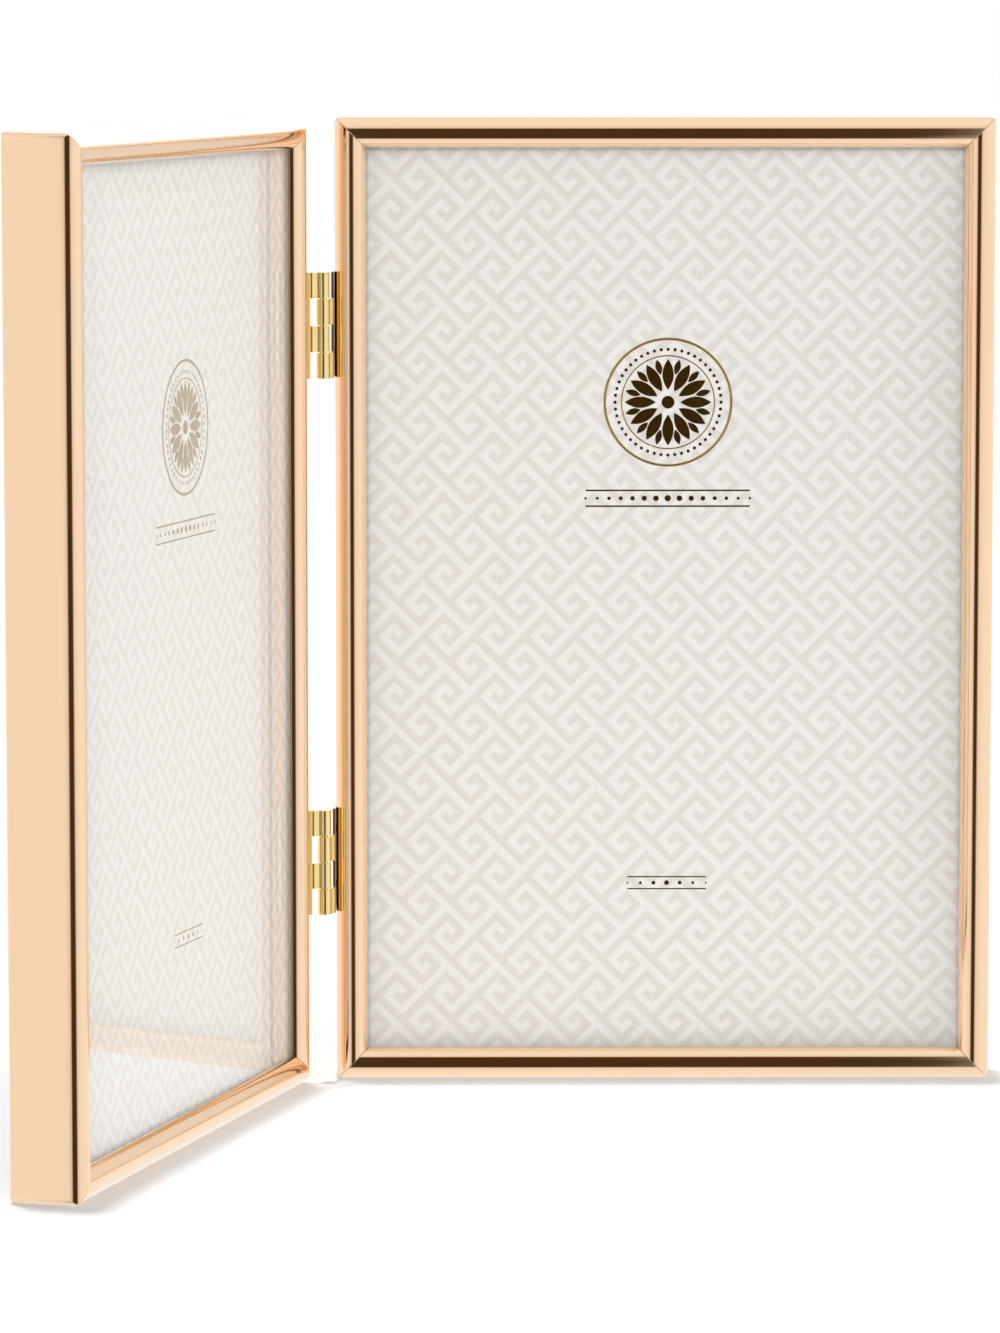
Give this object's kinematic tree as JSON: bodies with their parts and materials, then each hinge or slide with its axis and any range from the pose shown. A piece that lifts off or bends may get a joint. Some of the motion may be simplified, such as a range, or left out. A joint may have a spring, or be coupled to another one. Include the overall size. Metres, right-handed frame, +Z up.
{
  "type": "hinged double photo frame",
  "caption": "Hinged double photo frame: slim gilt half-round metal panels with glass, joined by butt hinges so that they open like a book and stand by themselves.",
  "frame": {"origin": "middle of the right panel's flat base, on the surface that the frame stands on", "axes": "+Z up, +X to the right along the right panel, -Y out of the right panel's picture side"},
  "size_m": [0.1544, 0.1171, 0.1588],
  "materials": {
    "gold_moulding": "polished gold plate",
    "hinge_brass": "bright rolled brass",
    "zinc_steel": "zinc plated",
    "glass": "clear float glass",
    "insert_paper": "smooth printed paper",
    "filler_card": "raw grey board",
    "hardboard": "raw hardboard",
    "velvet": "short black velvet pile"
  },
  "bodies": {
    "right_panel": {"right_rail_top": "gold_moulding", "right_rail_bottom": "gold_moulding", "right_rail_hinge_side": "gold_moulding", "right_rail_outer_side": "gold_moulding", "right_corner_key_lower_left": "zinc_steel", "right_corner_key_lower_right": "zinc_steel", "right_corner_key_upper_left": "zinc_steel", "right_corner_key_upper_right": "zinc_steel", "right_glass_pane": "glass", "right_photo_insert": "insert_paper", "right_filler_card": "filler_card", "right_backboard": "hardboard", "right_velvet_backing": "velvet", "right_clip_rivet_lower_left": "zinc_steel", "right_clip_rivet_lower_right": "zinc_steel", "right_clip_rivet_upper_left": "zinc_steel", "right_clip_rivet_upper_right": "zinc_steel", "lower_hinge_right_leaf": "hinge_brass", "lower_hinge_right_rivet_lower": "hinge_brass", "lower_hinge_right_rivet_upper": "hinge_brass", "lower_hinge_pin": "hinge_brass", "upper_hinge_right_leaf": "hinge_brass", "upper_hinge_right_rivet_lower": "hinge_brass", "upper_hinge_right_rivet_upper": "hinge_brass", "upper_hinge_pin": "hinge_brass"},
    "left_panel": {"left_rail_top": "gold_moulding", "left_rail_bottom": "gold_moulding", "left_rail_hinge_side": "gold_moulding", "left_rail_outer_side": "gold_moulding", "left_corner_key_lower_left": "zinc_steel", "left_corner_key_lower_right": "zinc_steel", "left_corner_key_upper_left": "zinc_steel", "left_corner_key_upper_right": "zinc_steel", "left_glass_pane": "glass", "left_photo_insert": "insert_paper", "left_filler_card": "filler_card", "left_backboard": "hardboard", "left_velvet_backing": "velvet", "left_clip_rivet_lower_left": "zinc_steel", "left_clip_rivet_lower_right": "zinc_steel", "left_clip_rivet_upper_left": "zinc_steel", "left_clip_rivet_upper_right": "zinc_steel", "lower_hinge_left_leaf": "hinge_brass", "lower_hinge_left_rivet_lower": "hinge_brass", "lower_hinge_left_rivet_upper": "hinge_brass", "upper_hinge_left_leaf": "hinge_brass", "upper_hinge_left_rivet_lower": "hinge_brass", "upper_hinge_left_rivet_upper": "hinge_brass"},
    "right_turn_clip_lower_left": {"right_turn_clip_lower_left": "zinc_steel"},
    "right_turn_clip_lower_right": {"right_turn_clip_lower_right": "zinc_steel"},
    "right_turn_clip_upper_left": {"right_turn_clip_upper_left": "zinc_steel"},
    "right_turn_clip_upper_right": {"right_turn_clip_upper_right": "zinc_steel"},
    "left_turn_clip_lower_left": {"left_turn_clip_lower_left": "zinc_steel"},
    "left_turn_clip_lower_right": {"left_turn_clip_lower_right": "zinc_steel"},
    "left_turn_clip_upper_left": {"left_turn_clip_upper_left": "zinc_steel"},
    "left_turn_clip_upper_right": {"left_turn_clip_upper_right": "zinc_steel"}
  },
  "joints": [
    {"name": "panel_fold", "type": "hinge", "parent": "right_panel", "child": "left_panel", "pos_m": [-0.05585, -0.0085, 0.0794], "axis": [0, 0, 1], "range_deg": [-73, 107]},
    {"name": "right_turn_clip_lower_left_swivel", "type": "hinge", "parent": "right_panel", "child": "right_turn_clip_lower_left", "pos_m": [-0.0468, 0.00325, 0.0334], "axis": [0, 1, 0], "range_deg": [0, 180]},
    {"name": "right_turn_clip_lower_right_swivel", "type": "hinge", "parent": "right_panel", "child": "right_turn_clip_lower_right", "pos_m": [0.0468, 0.00325, 0.0334], "axis": [0, -1, 0], "range_deg": [0, 180]},
    {"name": "right_turn_clip_upper_left_swivel", "type": "hinge", "parent": "right_panel", "child": "right_turn_clip_upper_left", "pos_m": [-0.0468, 0.00325, 0.1254], "axis": [0, 1, 0], "range_deg": [0, 180]},
    {"name": "right_turn_clip_upper_right_swivel", "type": "hinge", "parent": "right_panel", "child": "right_turn_clip_upper_right", "pos_m": [0.0468, 0.00325, 0.1254], "axis": [0, -1, 0], "range_deg": [0, 180]},
    {"name": "left_turn_clip_lower_left_swivel", "type": "hinge", "parent": "left_panel", "child": "left_turn_clip_lower_left", "pos_m": [-0.0971, -0.10323, 0.0334], "axis": [-0.9563, 0.2924, 0], "range_deg": [0, 180]},
    {"name": "left_turn_clip_lower_right_swivel", "type": "hinge", "parent": "left_panel", "child": "left_turn_clip_lower_right", "pos_m": [-0.06973, -0.01372, 0.0334], "axis": [0.9563, -0.2924, 0], "range_deg": [0, 180]},
    {"name": "left_turn_clip_upper_left_swivel", "type": "hinge", "parent": "left_panel", "child": "left_turn_clip_upper_left", "pos_m": [-0.0971, -0.10323, 0.1254], "axis": [-0.9563, 0.2924, 0], "range_deg": [0, 180]},
    {"name": "left_turn_clip_upper_right_swivel", "type": "hinge", "parent": "left_panel", "child": "left_turn_clip_upper_right", "pos_m": [-0.06973, -0.01372, 0.1254], "axis": [0.9563, -0.2924, 0], "range_deg": [0, 180]}
  ]
}
